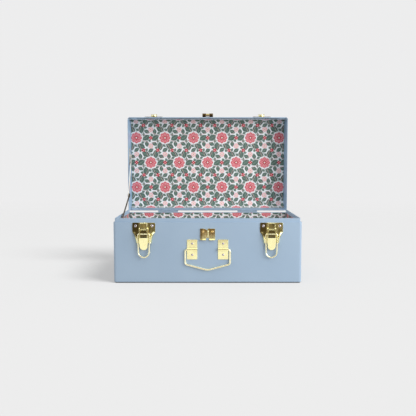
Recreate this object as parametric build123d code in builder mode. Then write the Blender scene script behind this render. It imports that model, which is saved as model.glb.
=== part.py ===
from build123d import *
import os
from math import cos, radians, sqrt, tan

# Storage trunk of painted sheet steel with brass hardware, in millimetres.
# Origin at the centre of the underside, +Z up, the front faces -Y. The lid is drawn standing open.

os.makedirs("parts", exist_ok=True)

# Overall sizes
body_width = 380.0
body_depth = 222.0
seam_height = 124.0
lid_height = 49.6
corner_radius = 5.0
lid_edge_radius = 22.0
sheet = 1.0

# Neck that the closed lid drops over, on the front and both sides
neck_height = 8.0
neck_inset = 2.85
neck_rear_gap = 5.0
lid_gap = 0.9

# Floor pan, pushed up into the wall band
band_foot = 2.4
pan_fit = 0.05
pan_edge_radius = 2.4
pan_flange = 12.0

# Lining boards, printed paper over card
floor_board = 2.0
wall_board = 1.65
lid_board = 1.2
lid_board_end_gap = 1.5
lid_board_seam = 0.2
board_fit = 0.1
board_joint = 0.8

# Caps that close the two ends of the lid wrap
cap_depth = 7.0
cap_flange = 12.0
rim_hem_height = 6.0
rim_hem = 0.8

# Lid hinges
hinge_spacing = 190.0
hinge_width = 47.0
hinge_offset = 3.0
hinge_leaf = 1.2
hinge_leaf_height = 22.0
hinge_knuckle_radius = 2.7
hinge_pin_radius = 1.2
hinge_knuckles = 5
knuckle_gap = 0.3
notch_gap = 0.4
hinge_leaf_corner = 3.0
hinge_rivet_reach = 13.6
hinge_rivet_pitch = 15.6

# Fits shared by the hardware
running_fit = 0.06
seated_fit = 0.02
side_gap = 0.3

# Rivets
rivet_shank_radius = 1.5
rivet_hole_fit = 0.05
rivet_tail = 0.7
rivet_tail_radius = 2.4
rivet_dome = 0.42
large_head_radius = 2.8
small_head_radius = 2.3

# Draw latches on the front
latch_inset = 61.5
latch_sheet = 1.0
latch_top = 123.2
latch_bottom = 82.0
latch_width = 46.0
latch_foot_width = 31.0
latch_taper_top = 104.5
latch_taper_sag = 1.8
latch_corner_radius = 2.5
latch_rivet_spacing = 32.8
latch_rivet_height = 116.6
ear_top_width = 4.8
ear_foot_width = 2.2
ear_start_reach = 1.6
ear_reach = 5.6
ear_rise = 0.3
ear_round = 0.3
lever_pivot_height = 109.9
lever_pivot_reach = 5.0
lever_pin_radius = 1.5
lug_sheet = 1.4
lug_inside = 5.4
lug_radius = 2.7
lug_foot = 104.0
lug_foot_reach = 3.5
hood_top = 122.6
hood_drop = 0.4
hood_reach = 6.2
hood_wall = 1.0
hood_foot = 112.3
cheek_sheet = 1.8
cheek_radius = 3.2
cheek_heel = 97.9
lever_web_top = 93.3
lever_web_reach = 8.2
lever_web_lean = 0.3
lever_sheet = 1.3
tongue_bend = 84.0
tongue_shoulder = 83.0
tongue_neck = 79.0
tongue_low = 75.0
tongue_dip = 1.4
tongue_fall = 0.9
tongue_width = 15.8
tongue_round = 7.2
tongue_tip = 68.3
loop_wire = 2.8
loop_pivot_height = 100.4
loop_pivot_reach = 4.2
loop_top_width = 23.8
loop_foot_width = 21.2
loop_tip = 52.9
loop_tip_slope = 32.0
loop_shoulder_radius = 2.5
loop_corner_radius = 9.5
loop_tip_radius = 8.0
loop_butt = 0.4

# Strikes on the lid that the loops hook over
strike_width = 43.0
strike_foot = 2.0
strike_top = 26.0
strike_sheet = 1.2
strike_lip_width = 15.0
strike_lip_top = 24.6
strike_lip_bottom = 12.6
strike_lip_corner = 6.3
hook_clearance = 0.3
strike_rivet_spacing = 32.0
strike_rivet_height = 14.0

# Hasp on the lid
hasp_width = 25.0
hasp_sheet = 1.4
hasp_plate_foot = 0.8
hasp_plate_top = 28.1
hasp_hinge_height = 5.0
hasp_hinge_reach = 5.6
hasp_knuckle_radius = 3.5
hasp_flap_knuckle_radius = 2.8
hasp_pin_radius = 1.4
hasp_flap_foot = 92.7
hasp_flap_corner = 7.5
hasp_slot_width = 3.4
hasp_slot_clearance = 0.6
hasp_rivet_spacing = 13.0
hasp_rivet_height = 16.0

# Staple on the body, with the fin that takes a padlock
staple_width = 30.0
staple_top = 111.2
staple_bottom = 92.3
staple_sheet = 1.2
staple_lip_radius = 4.3
staple_notch = 6.8
fin_thickness = 2.0
fin_offset = 1.1
fin_top = 108.4
fin_bottom = 95.6
fin_reach = 11.0
eye_radius = 2.6
eye_reach = 7.4
fin_corner_radius = 3.6
eye_height = 102.0
staple_cut_width = 6.0
staple_cut_height = 3.6
staple_rivet_spacing = 19.0
staple_rivet_height = 105.0

# Carrying handle on the front
clip_spacing = 62.4
clip_width = 20.7
clip_top = 89.0
clip_bottom = 48.7
clip_sheet = 1.0
clip_corner_radius = 1.4
clip_rivet_high = 80.7
clip_rivet_low = 58.1
bail_wire = 3.6
bail_pivot_height = 68.7
bail_pivot_reach = 2.1
bail_fit = 0.08
bail_leg_spacing = 90.4
bail_leg_foot = 38.9
bail_apex = 26.8
bail_end = 22.0
bail_shoulder_radius = 4.0
bail_corner_radius = 5.0
bail_apex_radius = 24.0

# Folding stay inside the left end: the foot pivot is measured from the front face, the rest from the hinge
# axis with the lid open
stay_sheet = 1.3
stay_shank_radius = 2.9
stay_eye_radius = 4.8
stay_wall_gap = 1.15
stay_head_gap = 0.1
stay_gap = 0.3
lid_pivot_rear = 22.0
lid_pivot_up = 132.0
foot_pivot_inset = 36.0
foot_pivot_down = 16.0
elbow_front = 36.0
elbow_up = 41.5
stay_pin_radius = 2.0
stay_head_radius = 4.2
stay_head = 0.8
stay_plate_length = 40.0
stay_plate_width = 14.0
stay_plate_sheet = 1.2
stay_plate_corner = 5.6
stay_boss_radius = 6.0
stay_rivet_spacing = 28.0

# Places worked out from the sizes above
half_width = body_width / 2
half_depth = body_depth / 2
latch_spacing = body_width - 2 * latch_inset
hinge_y = half_depth + hinge_offset
hinge_z = seam_height + lid_gap
lid_low = hinge_z + hinge_offset
lid_high = lid_low + body_depth
lid_middle = (lid_low + lid_high) / 2
lining_inset = neck_inset + sheet
pan_inset = sheet + pan_fit
board_outside = pan_inset + sheet + board_fit
lining_face = half_width - board_outside - wall_board
cap_face = half_width - sheet
lid_pivot = (hinge_y + lid_pivot_rear, hinge_z + lid_pivot_up)
elbow = (hinge_y - elbow_front, hinge_z + elbow_up)
foot_pivot = (foot_pivot_inset - half_depth, hinge_z - foot_pivot_down)
cap_seam = half_width - cap_depth
cap_flange_inset = sheet + pan_fit
cutter = 5.0

front = Plane.XZ.offset(half_depth)
rear = Plane(origin=(0, half_depth, 0), x_dir=(-1, 0, 0), z_dir=(0, 1, 0))
lid_front = Plane(origin=(0, hinge_y, lid_high), x_dir=(1, 0, 0), z_dir=(0, 0, 1))
lid_rear = Plane(origin=(0, hinge_y, lid_low), x_dir=(1, 0, 0), z_dir=(0, 0, -1))
left_wall = Plane(origin=(-half_width, 0, 0), x_dir=(0, -1, 0), z_dir=(-1, 0, 0))


def front_section(x):
    """Plane across X on which x runs out from the front face and y runs up."""
    return Plane(origin=(x, -half_depth, 0), x_dir=(0, -1, 0), z_dir=(-1, 0, 0))


def lid_section(x):
    """The same plane on the lid: x runs out from its front wall and y runs away from its rim."""
    return Plane(origin=(x, hinge_y, lid_high), x_dir=(0, 0, 1), z_dir=(-1, 0, 0))


def plan(inset, height):
    """Rounded outline of the trunk from above, drawn in by an inset, at a height."""
    with BuildSketch(Plane.XY.offset(height)) as outline:
        RectangleRounded(body_width - 2 * inset, body_depth - 2 * inset, corner_radius - inset)
    return outline.sketch


def lid_outline(inset, x, past_rim=0):
    """Section of the open lid across X, from its rim plane to its top, drawn in by an inset."""
    with BuildSketch(Plane.YZ.offset(x)) as outline:
        with Locations((hinge_y - past_rim, lid_middle)):
            Rectangle(lid_height + past_rim - inset, body_depth - 2 * inset, align=(Align.MIN, Align.CENTER))
        fillet(outline.vertices().group_by(Axis.X)[-1], lid_edge_radius - inset)
    return outline.sketch


def holes(plane, points, radius=rivet_shank_radius + rivet_hole_fit):
    """Round holes at points on a plane, as a sketch to cut with."""
    with BuildSketch(plane) as circles:
        with Locations(*points):
            Circle(radius)
    return circles.sketch


def rivet(grip, head_radius):
    """A domed rivet on +Z: its head sits at height 0, its tail is spread below the grip."""
    head_height = rivet_dome * head_radius
    dome_radius = (head_radius ** 2 + head_height ** 2) / (2 * head_height)
    half_way = sqrt(dome_radius ** 2 - head_radius ** 2 / 4) - dome_radius + head_height
    foot = -grip - rivet_tail
    with BuildPart() as piece:
        with BuildSketch(Plane.XZ):
            with BuildLine():
                Polyline(
                    (0, head_height), (0, foot), (rivet_tail_radius, foot), (rivet_tail_radius, -grip),
                    (rivet_shank_radius, -grip), (rivet_shank_radius, 0), (head_radius, 0),
                )
                ThreePointArc((head_radius, 0), (head_radius / 2, half_way), (0, head_height))
            make_face()
        revolve(axis=Axis.Z)
    return piece.part


def pair(spacing, height):
    """Two points at one height, spread about the middle."""
    return [(-spacing / 2, height), (spacing / 2, height)]


# Rivet places, in the coordinates of the wall that each set goes through
latch_points = [
    (sign * latch_spacing / 2 + across, latch_rivet_height)
    for sign in (-1, 1)
    for across in (-latch_rivet_spacing / 2, latch_rivet_spacing / 2)
]
clip_points = [
    (sign * clip_spacing / 2, height) for sign in (-1, 1) for height in (clip_rivet_low, clip_rivet_high)
]
staple_points = pair(staple_rivet_spacing, staple_rivet_height)
strike_points = [
    (sign * latch_spacing / 2 + across, strike_rivet_height)
    for sign in (-1, 1)
    for across in (-strike_rivet_spacing / 2, strike_rivet_spacing / 2)
]
hasp_points = pair(hasp_rivet_spacing, hasp_rivet_height)
hinge_points = [
    (sign * hinge_spacing / 2 + across, hinge_rivet_reach)
    for sign in (-1, 1)
    for across in (-hinge_rivet_pitch, 0, hinge_rivet_pitch)
]
rear_points = [(x, hinge_z - reach) for x, reach in hinge_points]
lid_rear_points = [(x, -reach) for x, reach in hinge_points]
stay_base_points = [(along - foot_pivot[0], up) for along, up in pair(stay_rivet_spacing, foot_pivot[1])]
stay_lid_points = [(-lid_pivot[0], lid_pivot[1] + along) for along, up in pair(stay_rivet_spacing, 0)]

# Base shell: a wall band with rounded corners, and the shoulder and neck rolled from its top edge
with BuildPart() as neck_strip:
    extrude(plan(sheet / 2, seam_height - sheet), amount=sheet)
    extrude(plan(neck_inset, seam_height - sheet), amount=sheet + neck_height)
    extrude(plan(lining_inset, seam_height - sheet), amount=sheet + neck_height, mode=Mode.SUBTRACT)
    with BuildSketch(Plane.XY.offset(seam_height - sheet)):
        with Locations((0, half_depth - neck_rear_gap)):
            Rectangle(body_width, neck_rear_gap * 2, align=(Align.CENTER, Align.MIN))
    extrude(amount=sheet + neck_height, mode=Mode.SUBTRACT)

with BuildPart() as base_shell:
    extrude(plan(0, band_foot), amount=seam_height - band_foot)
    extrude(plan(sheet, band_foot), amount=seam_height - band_foot, mode=Mode.SUBTRACT)
    add(neck_strip.part)
    extrude(holes(front, latch_points + clip_points + staple_points), amount=-2 * sheet, mode=Mode.SUBTRACT)
    extrude(holes(rear, rear_points), amount=-2 * sheet, mode=Mode.SUBTRACT)
    extrude(holes(left_wall, stay_base_points), amount=-2 * sheet, mode=Mode.SUBTRACT)
base_shell.part.label = "base_shell"
export_step(base_shell.part, "parts/base_shell.step")

# Floor pan with an upturned flange inside the band
with BuildPart() as base_floor_pan:
    extrude(plan(pan_inset, 0), amount=pan_flange)
    fillet(base_floor_pan.edges().group_by(Axis.Z)[0], pan_edge_radius)
    extrude(plan(pan_inset + sheet, sheet), amount=pan_flange, mode=Mode.SUBTRACT)
base_floor_pan.part.label = "base_floor_pan"
export_step(base_floor_pan.part, "parts/base_floor_pan.step")

# Lining boards: one on the floor, four standing on it under the shoulder
board_foot = sheet + floor_board
board_height = seam_height - sheet - board_fit - board_foot
inner_width = body_width - 2 * board_outside
inner_depth = body_depth - 2 * board_outside
board_corner = corner_radius - board_outside

with BuildPart() as lining_floor:
    with BuildSketch(Plane.XY.offset(sheet)):
        RectangleRounded(inner_width, inner_depth, board_corner)
    extrude(amount=floor_board)
lining_floor.part.label = "lining_floor"
export_step(lining_floor.part, "parts/lining_floor.step")

for name, toward in (("lining_front", -1), ("lining_rear", 1)):
    with BuildPart() as long_board:
        with BuildSketch(Plane.XY.offset(board_foot)):
            with Locations((0, toward * (inner_depth - wall_board) / 2)):
                Rectangle(inner_width - 2 * board_corner, wall_board)
        extrude(amount=board_height)
    long_board.part.label = name
    export_step(long_board.part, f"parts/{name}.step")

for name, toward in (("lining_left", -1), ("lining_right", 1)):
    with BuildPart() as end_board:
        with BuildSketch(Plane.XY.offset(board_foot)):
            with Locations((toward * (inner_width - wall_board) / 2, 0)):
                Rectangle(wall_board, inner_depth - 2 * wall_board - 2 * board_joint)
        extrude(amount=board_height)
        if toward < 0:
            extrude(holes(left_wall, stay_base_points), amount=lining_face - body_width, mode=Mode.SUBTRACT)
    end_board.part.label = name
    export_step(end_board.part, f"parts/{name}.step")

# Lid wrap: front wall, top and rear wall bent from one sheet, with a hem along both rims
with BuildPart() as lid_shell:
    extrude(lid_outline(0, 0), amount=cap_seam, both=True)
    extrude(lid_outline(sheet, 0, cutter), amount=half_width, both=True, mode=Mode.SUBTRACT)
    with BuildSketch(Plane.YZ):
        for wall_z, inward in ((lid_low + sheet, 1), (lid_high - sheet, -1)):
            with Locations((hinge_y + rim_hem_height / 2, wall_z + inward * rim_hem / 2)):
                Rectangle(rim_hem_height, rim_hem)
    extrude(amount=cap_seam - cap_flange - side_gap, both=True)
    extrude(holes(lid_front, strike_points + hasp_points), amount=-2 * sheet, mode=Mode.SUBTRACT)
    extrude(holes(lid_rear, lid_rear_points), amount=-2 * sheet, mode=Mode.SUBTRACT)
lid_shell.part.label = "lid_shell"
export_step(lid_shell.part, "parts/lid_shell.step")

# Lid ends: pressed caps whose flange slips inside the wrap
with BuildPart() as cap_outside:
    extrude(lid_outline(0, cap_seam), amount=cap_depth)
    rim_free = cap_outside.edges().filter_by(lambda edge: edge.center().Y > hinge_y + sheet / 2)
    fillet(rim_free.group_by(Axis.X)[-1], corner_radius)
with BuildPart() as cap_inside:
    extrude(lid_outline(sheet, cap_seam - cap_flange, cutter), amount=cap_flange + cap_depth - sheet)
    rim_free = cap_inside.edges().filter_by(lambda edge: edge.center().Y > hinge_y - cutter / 2)
    fillet(rim_free.group_by(Axis.X)[-1], corner_radius - sheet)
with BuildPart() as lid_end:
    add(cap_outside.part)
    add(cap_inside.part, mode=Mode.SUBTRACT)
    extrude(lid_outline(sheet / 2, cap_seam), amount=sheet)
    extrude(lid_outline(cap_flange_inset, cap_seam - cap_flange), amount=cap_flange + sheet)
    extrude(lid_outline(cap_flange_inset + sheet, cap_seam - cap_flange, cutter),
            amount=cap_flange + sheet, mode=Mode.SUBTRACT)
with BuildPart() as lid_end_left:
    add(mirror(lid_end.part, about=Plane.YZ))
    extrude(holes(left_wall, stay_lid_points), amount=-2 * sheet, mode=Mode.SUBTRACT)
for name, piece in (("lid_end_right", lid_end.part), ("lid_end_left", lid_end_left.part)):
    piece.label = name
    export_step(piece, f"parts/{name}.step")

# Lid lining: a flat printed board under the top, and a curved strip round each long edge
lining_outside = cap_flange_inset + sheet + board_fit
lining_end = half_width - sheet - lid_board_end_gap
with BuildPart() as lid_boards:
    extrude(lid_outline(lining_outside, 0), amount=lining_end, both=True)
    extrude(lid_outline(lining_outside + lid_board, 0, cutter), amount=half_width, both=True,
            mode=Mode.SUBTRACT)
    with BuildSketch(Plane.YZ):
        with Locations((hinge_y, lid_middle)):
            Rectangle(lid_height - lid_edge_radius, body_depth, align=(Align.MIN, Align.CENTER))
    extrude(amount=half_width, both=True, mode=Mode.SUBTRACT)
flat_half = half_depth - lid_edge_radius
edge_low = flat_half + lid_board_seam
for name, low, high in (
    ("lid_lining", -flat_half, flat_half),
    ("lid_lining_front", edge_low, half_depth), ("lid_lining_rear", -half_depth, -edge_low),
):
    with BuildPart() as board:
        add(lid_boards.part)
        with BuildSketch(Plane.XY.offset(lid_middle + low)):
            with Locations((0, hinge_y)):
                Rectangle(body_width, 2 * lid_height)
        extrude(amount=high - low, mode=Mode.INTERSECT)
    board.part.label = name
    export_step(board.part, f"parts/{name}.step")

# Lid hinges: leaves with interleaved knuckles round a pin, five knuckles to a hinge
knuckle_pitch = hinge_width / hinge_knuckles
notch_reach = hinge_knuckle_radius + notch_gap


def hinge_axis(x):
    """Plane across X at a place on the hinge axis: x runs to the rear and y runs up."""
    return Plane(origin=(x, hinge_y, hinge_z), x_dir=(0, 1, 0), z_dir=(1, 0, 0))


def hinge_leaf_part(centre, own, other):
    """A leaf of the base half: a plate on the rear wall and its own knuckles, notched for the other's."""
    start = centre - hinge_width / 2
    with BuildPart() as leaf:
        with BuildSketch(hinge_axis(start)):
            with Locations((-hinge_offset, 0)):
                Rectangle(hinge_leaf, hinge_leaf_height, align=(Align.MIN, Align.MAX))
        extrude(amount=hinge_width)
        fillet(leaf.edges().filter_by(Axis.Y).group_by(Axis.Z)[0], hinge_leaf_corner)
        for number in other:
            with BuildSketch(hinge_axis(start + number * knuckle_pitch)):
                Rectangle(2 * (hinge_offset + cutter), 2 * notch_reach)
            extrude(amount=knuckle_pitch, mode=Mode.SUBTRACT)
        for number in own:
            with BuildSketch(hinge_axis(start + number * knuckle_pitch + knuckle_gap / 2)):
                Circle(hinge_knuckle_radius)
            extrude(amount=knuckle_pitch - knuckle_gap)
        with BuildSketch(hinge_axis(start)):
            Circle(hinge_pin_radius + running_fit)
        extrude(amount=hinge_width, mode=Mode.SUBTRACT)
    return leaf.part


base_knuckles = range(0, hinge_knuckles, 2)
lid_knuckles = range(1, hinge_knuckles, 2)
open_turn = Axis((0, hinge_y, hinge_z), (1, 0, 0))
for side, sign in (("left", -1), ("right", 1)):
    centre = sign * hinge_spacing / 2
    leaf_points = [(x, reach) for x, reach in hinge_points if x * sign > 0]
    with BuildPart() as hinge_base_leaf:
        add(hinge_leaf_part(centre, base_knuckles, lid_knuckles))
        leaf_holes = holes(rear, [(-x, hinge_z - reach) for x, reach in leaf_points])
        extrude(leaf_holes, amount=2 * hinge_leaf, mode=Mode.SUBTRACT)
    hinge_base_leaf.part.label = f"hinge_base_leaf_{side}"
    export_step(hinge_base_leaf.part, f"parts/hinge_base_leaf_{side}.step")

    # The lid's leaf is the base's turned over: up the lid wall when shut, so a mirror and a quarter turn
    shut_leaf = mirror(hinge_leaf_part(centre, lid_knuckles, base_knuckles), about=Plane.XY.offset(hinge_z))
    with BuildPart() as hinge_lid_leaf:
        add(shut_leaf.rotate(open_turn, -90))
        leaf_holes = holes(lid_rear, [(x, -reach) for x, reach in leaf_points])
        extrude(leaf_holes, amount=2 * hinge_leaf, mode=Mode.SUBTRACT)
    hinge_lid_leaf.part.label = f"hinge_lid_leaf_{side}"
    export_step(hinge_lid_leaf.part, f"parts/hinge_lid_leaf_{side}.step")

    with BuildPart() as hinge_pin:
        with BuildSketch(hinge_axis(centre)):
            Circle(hinge_pin_radius)
        extrude(amount=hinge_width / 2, both=True)
    hinge_pin.part.label = f"hinge_pin_{side}"
    export_step(hinge_pin.part, f"parts/hinge_pin_{side}.step")

hinge_rivet = rivet(hinge_leaf + sheet, small_head_radius)
with BuildPart(rear.offset(hinge_leaf)) as hinge_base_rivets:
    with Locations(*rear_points):
        add(hinge_rivet)
hinge_base_rivets.part.label = "hinge_base_rivets"
export_step(hinge_base_rivets.part, "parts/hinge_base_rivets.step")

with BuildPart(lid_rear.offset(hinge_leaf)) as hinge_lid_rivets:
    with Locations(*lid_rear_points):
        add(hinge_rivet)
hinge_lid_rivets.part.label = "hinge_lid_rivets"
export_step(hinge_lid_rivets.part, "parts/hinge_lid_rivets.step")

# Draw latches: a plate with raised tapered ears, two lugs under a hood that hold the lever's pin
latch_half = latch_width / 2
foot_half = latch_foot_width / 2
taper_middle = ((latch_half + foot_half) / 2 - latch_taper_sag, (latch_taper_top + latch_bottom) / 2)
taper_start = (latch_half, latch_taper_top)
taper_end = (foot_half, latch_bottom)
lug_outside = lug_inside + lug_sheet
cheek_inside = lug_outside + side_gap
cheek_outside = cheek_inside + cheek_sheet
web_back = lever_web_reach - lever_sheet
web_foot = web_back - lever_web_lean
tongue_back = web_foot - tongue_dip
lug_front = lever_pivot_reach + lug_radius


def ear_part():
    """A rolled ridge up a plate's tapered edge: high on its inner side and rounded down to the edge."""
    foot = -half_depth - latch_sheet / 2
    with BuildLine(front) as taper:
        ThreePointArc(taper_start, taper_middle, taper_end)
    with BuildPart() as ear:
        for share in (0, ear_rise, (1 + ear_rise) / 2, 1):
            edge = taper.line @ share
            inside = edge.X - ear_top_width + share * (ear_top_width - ear_foot_width)
            top = -half_depth - (ear_reach if share else ear_start_reach)
            shoulder = (edge.X + ear_round * (inside - edge.X), top + ear_round * (foot - top))
            with BuildSketch(Plane.XY.offset(edge.Z)):
                with BuildLine():
                    Polyline((edge.X, foot), (inside, foot), (inside, top))
                    ThreePointArc((inside, top), shoulder, (edge.X, foot))
                make_face()
        loft()
    return ear.part


def latch_plate_part():
    """The plate of a latch, drawn on the middle of the front."""
    ear = ear_part()
    with BuildPart() as plate:
        with BuildSketch(front) as outline:
            with BuildLine():
                right = ThreePointArc(taper_start, taper_middle, taper_end)
                left = mirror(right, about=Plane.YZ)
                Polyline(taper_start, (latch_half, latch_top), (-latch_half, latch_top),
                         (-latch_half, latch_taper_top))
                Line(taper_end, (-foot_half, latch_bottom))
            make_face()
            fillet(outline.vertices().group_by(Axis.Y)[-1], latch_corner_radius)
        extrude(amount=latch_sheet)
        add(ear)
        add(mirror(ear, about=Plane.YZ))
        # Lugs round the pin, and between them the hood that joins them above it
        with BuildSketch(front_section(0)):
            with BuildLine():
                Polyline(
                    (latch_sheet / 2, lug_foot), (lug_foot_reach, lug_foot), (lug_front, lever_pivot_height),
                    (hood_reach, hood_top - hood_drop), (latch_sheet / 2, hood_top), close=True,
                )
            make_face()
        extrude(amount=lug_outside, both=True)
        with BuildSketch(front_section(0)):
            with BuildLine():
                Polyline(
                    (latch_sheet, lug_foot - cutter), (lug_front + cutter, lug_foot - cutter),
                    (lug_front + cutter, hood_foot), (lug_front - hood_wall, hood_foot),
                    (hood_reach - hood_wall, hood_top - hood_drop - hood_wall),
                    (latch_sheet, hood_top - 2 * hood_wall), close=True,
                )
            make_face()
        extrude(amount=lug_inside, both=True, mode=Mode.SUBTRACT)
        with BuildSketch(front_section(0)):
            with Locations((lever_pivot_reach, lever_pivot_height)):
                Circle(lever_pin_radius + seated_fit)
        extrude(amount=lug_outside + cutter, both=True, mode=Mode.SUBTRACT)
        extrude(holes(front, pair(latch_rivet_spacing, latch_rivet_height)), amount=2 * latch_sheet,
                mode=Mode.SUBTRACT)
    return plate.part


def lever_part():
    """The lever of a latch: a web with a spoon-shaped tongue, and two cheeks that turn on the pin."""
    with BuildPart() as lever:
        with BuildSketch(front_section(0)):
            with BuildLine():
                web = Line((web_back, lever_web_top), (web_foot, tongue_bend))
                dip = TangentArc(web @ 1, (tongue_back, tongue_low), tangent=web % 1)
                TangentArc(dip @ 1, (tongue_back - tongue_fall, tongue_tip), tangent=dip % 1)
                offset(amount=lever_sheet, side=Side.LEFT)
            make_face()
        extrude(amount=cheek_outside, both=True)
        with BuildSketch(front):
            with BuildLine():
                tip = ThreePointArc(
                    (-tongue_width / 2, tongue_tip + tongue_round), (0, tongue_tip),
                    (tongue_width / 2, tongue_tip + tongue_round),
                )
                Polyline(
                    tip @ 1, (tongue_width / 2, tongue_neck), (cheek_outside, tongue_shoulder),
                    (cheek_outside, lever_web_top), (-cheek_outside, lever_web_top),
                    (-cheek_outside, tongue_shoulder), (-tongue_width / 2, tongue_neck), tip @ 0,
                )
            make_face()
        extrude(amount=2 * lever_web_reach, mode=Mode.INTERSECT)
        for start in (cheek_outside, -cheek_inside):
            with BuildSketch(front_section(start)):
                with BuildLine():
                    Polyline(
                        (lever_pivot_reach - cheek_radius, lever_pivot_height),
                        (lever_pivot_reach - cheek_radius, cheek_heel),
                        (web_foot - lever_sheet, tongue_shoulder),
                        (lever_web_reach - lever_web_lean, tongue_bend), (lever_web_reach, lever_web_top),
                        (lever_pivot_reach + cheek_radius, lever_pivot_height), close=True,
                    )
                make_face()
                with Locations((lever_pivot_reach, lever_pivot_height)):
                    Circle(cheek_radius)
            extrude(amount=cheek_sheet)
        with BuildSketch(front_section(0)):
            with Locations((lever_pivot_reach, lever_pivot_height)):
                Circle(lever_pin_radius + running_fit)
            with Locations((loop_pivot_reach, loop_pivot_height)):
                Circle(loop_wire / 2 + running_fit)
        extrude(amount=cheek_outside + cutter, both=True, mode=Mode.SUBTRACT)
    return lever.part


def loop_part():
    """The wire loop of a latch, hanging from its cross-bar, where the two wire ends meet."""
    top_half = loop_top_width / 2
    corner_half = loop_foot_width / 2
    # The rounded tip lies above the sharp corner that it replaces
    slope = radians(loop_tip_slope)
    tip_corner = loop_tip - loop_tip_radius * (1 / cos(slope) - 1)
    corner_height = tip_corner + corner_half * tan(slope)
    loop_plane = front.offset(loop_pivot_reach)
    with BuildPart() as loop:
        with BuildLine(loop_plane):
            FilletPolyline(
                (loop_butt / 2, loop_pivot_height), (top_half, loop_pivot_height),
                (corner_half, corner_height), (0, tip_corner), (-corner_half, corner_height),
                (-top_half, loop_pivot_height), (-loop_butt / 2, loop_pivot_height),
                radius=[loop_shoulder_radius, loop_corner_radius, loop_tip_radius, loop_corner_radius,
                        loop_shoulder_radius],
            )
        with BuildSketch(
            Plane(origin=(loop_butt / 2, -half_depth - loop_pivot_reach, loop_pivot_height), z_dir=(1, 0, 0))
        ):
            Circle(loop_wire / 2)
        sweep()
    return loop.part


latch_plate = latch_plate_part()
latch_lever = lever_part()
latch_loop = loop_part()
with BuildPart() as lever_pin:
    with BuildSketch(front_section(0)):
        with Locations((lever_pivot_reach, lever_pivot_height)):
            Circle(lever_pin_radius)
    extrude(amount=cheek_outside + side_gap, both=True)

for side, sign in (("left", -1), ("right", 1)):
    place = Location((sign * latch_spacing / 2, 0, 0))
    for name, piece in (
        ("latch_plate", latch_plate), ("latch_lever", latch_lever), ("latch_loop", latch_loop),
        ("latch_pin", lever_pin.part),
    ):
        placed = piece.moved(place)
        placed.label = f"{name}_{side}"
        export_step(placed, f"parts/{name}_{side}.step")

with BuildPart(front.offset(latch_sheet)) as latch_rivets:
    with Locations(*latch_points):
        add(rivet(latch_sheet + sheet, large_head_radius))
latch_rivets.part.label = "latch_rivets"
export_step(latch_rivets.part, "parts/latch_rivets.step")

# Strikes: a plate with a hooked boss that stands inside the tip of the raised loop
loop_rise = 2 * loop_pivot_height - loop_tip - hinge_z
boss_radius = loop_tip_radius - loop_wire / 2 - hook_clearance
boss_height = loop_rise - loop_tip_radius
lip_seat = loop_pivot_reach + loop_wire / 2 + hook_clearance
with BuildPart() as strike:
    with BuildSketch(lid_front) as strike_outline:
        with Locations((0, (strike_foot + strike_top) / 2)):
            RectangleRounded(strike_width, strike_top - strike_foot, latch_corner_radius)
    extrude(amount=strike_sheet)
    with BuildSketch(lid_front.offset(strike_sheet / 2)):
        with Locations((0, boss_height)):
            Circle(boss_radius)
        with Locations((0, strike_lip_bottom)):
            Rectangle(2 * boss_radius, boss_height - strike_lip_bottom, align=(Align.CENTER, Align.MIN))
    extrude(amount=lip_seat - strike_sheet / 2)
    with BuildSketch(lid_front.offset(lip_seat)) as lip_outline:
        with Locations((0, (strike_lip_top + strike_lip_bottom) / 2)):
            Rectangle(strike_lip_width, strike_lip_top - strike_lip_bottom)
        fillet(lip_outline.vertices().group_by(Axis.Y)[-1], strike_lip_corner)
    extrude(amount=strike_sheet)
    extrude(holes(lid_front, pair(strike_rivet_spacing, strike_rivet_height)), amount=2 * strike_sheet,
            mode=Mode.SUBTRACT)
for side, sign in (("left", -1), ("right", 1)):
    placed = strike.part.moved(Location((sign * latch_spacing / 2, 0, 0)))
    placed.label = f"strike_{side}"
    export_step(placed, f"parts/strike_{side}.step")

with BuildPart(lid_front.offset(strike_sheet)) as strike_rivets:
    with Locations(*strike_points):
        add(rivet(strike_sheet + sheet, large_head_radius))
strike_rivets.part.label = "strike_rivets"
export_step(strike_rivets.part, "parts/strike_rivets.step")

# Hasp: a plate with two curled knuckles, a pin, and a slotted flap folded back over the plate
hasp_third = hasp_width / 3
curl_far = hasp_hinge_height + hasp_knuckle_radius
with BuildPart() as hasp_plate:
    with BuildSketch(lid_front) as hasp_outline:
        with Locations((0, hasp_plate_foot)):
            Rectangle(hasp_width, hasp_plate_top - hasp_plate_foot, align=(Align.CENTER, Align.MIN))
        fillet(hasp_outline.vertices().group_by(Axis.Y)[-1], latch_corner_radius)
    extrude(amount=hasp_sheet)
    for start in (hasp_width / 2, hasp_third / 2 - hasp_third):
        with BuildSketch(lid_section(start)):
            with Locations((hasp_hinge_reach, hasp_hinge_height)):
                Circle(hasp_knuckle_radius)
            with Locations((0, curl_far)):
                Rectangle(hasp_hinge_reach, hasp_sheet, align=(Align.MIN, Align.MAX))
        extrude(amount=hasp_third)
    with BuildSketch(lid_section(0)):
        with Locations((hasp_hinge_reach, hasp_hinge_height)):
            Circle(hasp_pin_radius + seated_fit)
    extrude(amount=hasp_width, both=True, mode=Mode.SUBTRACT)
    extrude(holes(lid_front, hasp_points), amount=2 * hasp_sheet, mode=Mode.SUBTRACT)
hasp_plate.part.label = "hasp_plate"
export_step(hasp_plate.part, "parts/hasp_plate.step")

with BuildPart() as hasp_pin:
    with BuildSketch(lid_section(0)):
        with Locations((hasp_hinge_reach, hasp_hinge_height)):
            Circle(hasp_pin_radius)
    extrude(amount=hasp_width / 2 + side_gap, both=True)
hasp_pin.part.label = "hasp_pin"
export_step(hasp_pin.part, "parts/hasp_pin.step")

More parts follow.
